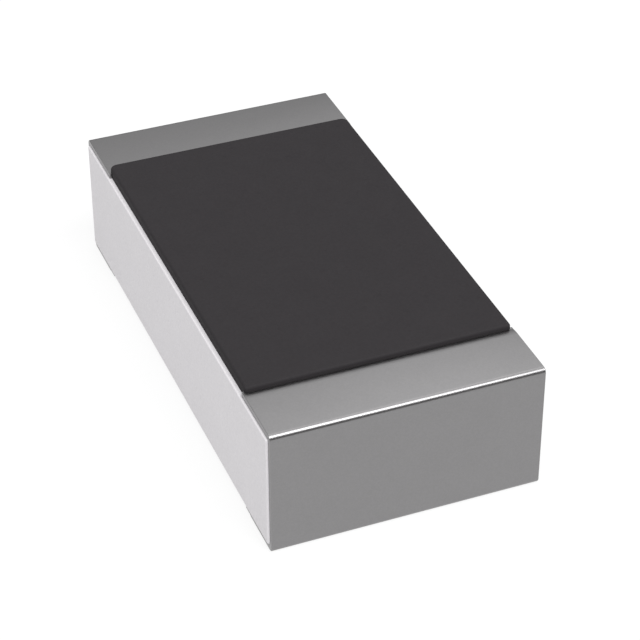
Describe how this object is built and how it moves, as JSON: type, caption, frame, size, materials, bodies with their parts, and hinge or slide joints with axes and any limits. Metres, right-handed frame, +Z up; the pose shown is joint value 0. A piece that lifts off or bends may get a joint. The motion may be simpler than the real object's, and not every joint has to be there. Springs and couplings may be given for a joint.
{
  "type": "smd chip resistor",
  "caption": "Thick-film chip resistor, 1.6 x 0.8 mm size: alumina plate, trimmed film, glass, dark coat and two tinned end terminals.",
  "frame": {"origin": "centre of the chip's box", "axes": "+X along the length towards the right-hand terminal, +Y across the width, +Z up through the dark coat, solder pads down"},
  "size_m": [0.0016, 0.0008, 0.0004],
  "materials": {
    "alumina": "matte",
    "silver_paste": "matte",
    "resistive_paste": "matte",
    "glass_frit": "gloss",
    "dark_epoxy": "satin",
    "nickel_chromium": "satin",
    "nickel": "satin",
    "matte_tin": "satin"
  },
  "bodies": {
    "root": {"ceramic_substrate": "alumina", "bottom_electrode_right": "silver_paste", "bottom_electrode_left": "silver_paste", "top_electrode_right": "silver_paste", "top_electrode_left": "silver_paste", "resistive_film": "resistive_paste", "glass_passivation": "glass_frit", "protective_coat": "dark_epoxy", "edge_electrode_right": "nickel_chromium", "edge_electrode_left": "nickel_chromium", "nickel_barrier_right": "nickel", "nickel_barrier_left": "nickel", "tin_plating_right": "matte_tin", "tin_plating_left": "matte_tin"}
  },
  "joints": []
}
